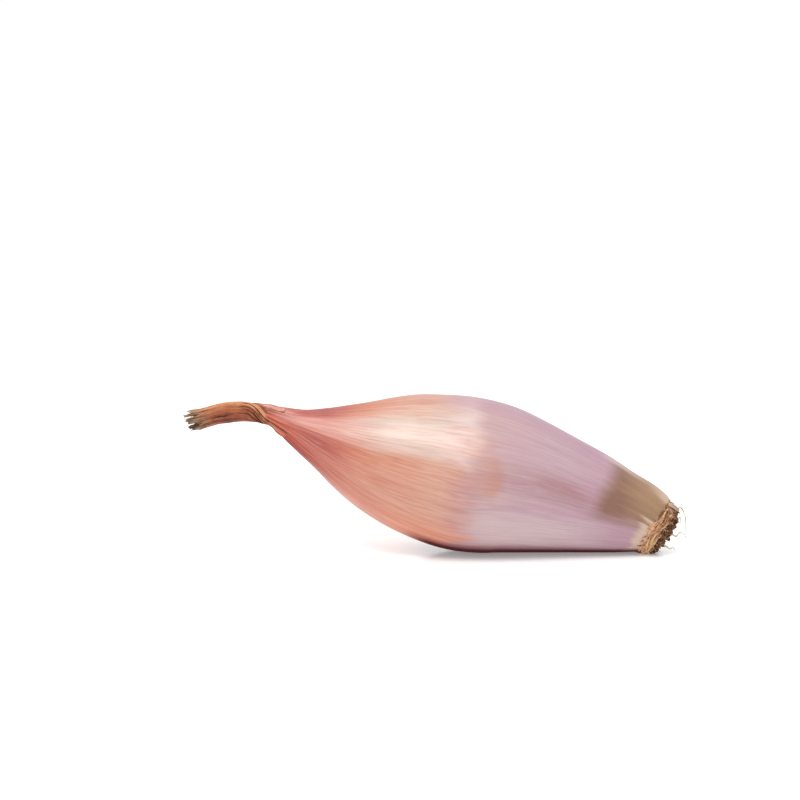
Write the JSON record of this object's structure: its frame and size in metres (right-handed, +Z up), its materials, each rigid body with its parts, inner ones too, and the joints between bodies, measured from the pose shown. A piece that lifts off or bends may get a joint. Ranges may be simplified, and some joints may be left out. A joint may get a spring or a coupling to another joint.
{
  "type": "banana shallot onion",
  "caption": "Long banana shallot onion lying on its side: a papery pink bulb with a dried twisted neck and a corky root end.",
  "frame": {"origin": "under the middle of the onion's box, on the plane that it rests on", "axes": "+X from the neck to the root end, +Y to the side that faces away in the usual view, +Z up"},
  "size_m": [0.1314, 0.0406, 0.0412],
  "materials": {
    "papery_skin": "thin dry satin skin with fine lengthwise fibres, salmon at the neck end and lilac at the root end",
    "dry_leaf": "withered leaf tops, folded and twisted, matt orange brown",
    "cork": "rough corky tissue and broken root stubs, matt tan to dark brown",
    "root_fibre": "thin dry root threads, matt pale straw"
  },
  "bodies": {
    "root": {"bulb": "papery_skin", "neck": "dry_leaf", "root_plate": "cork", "rootlet_1": "root_fibre", "rootlet_2": "root_fibre", "rootlet_3": "root_fibre", "rootlet_4": "root_fibre"}
  },
  "joints": []
}
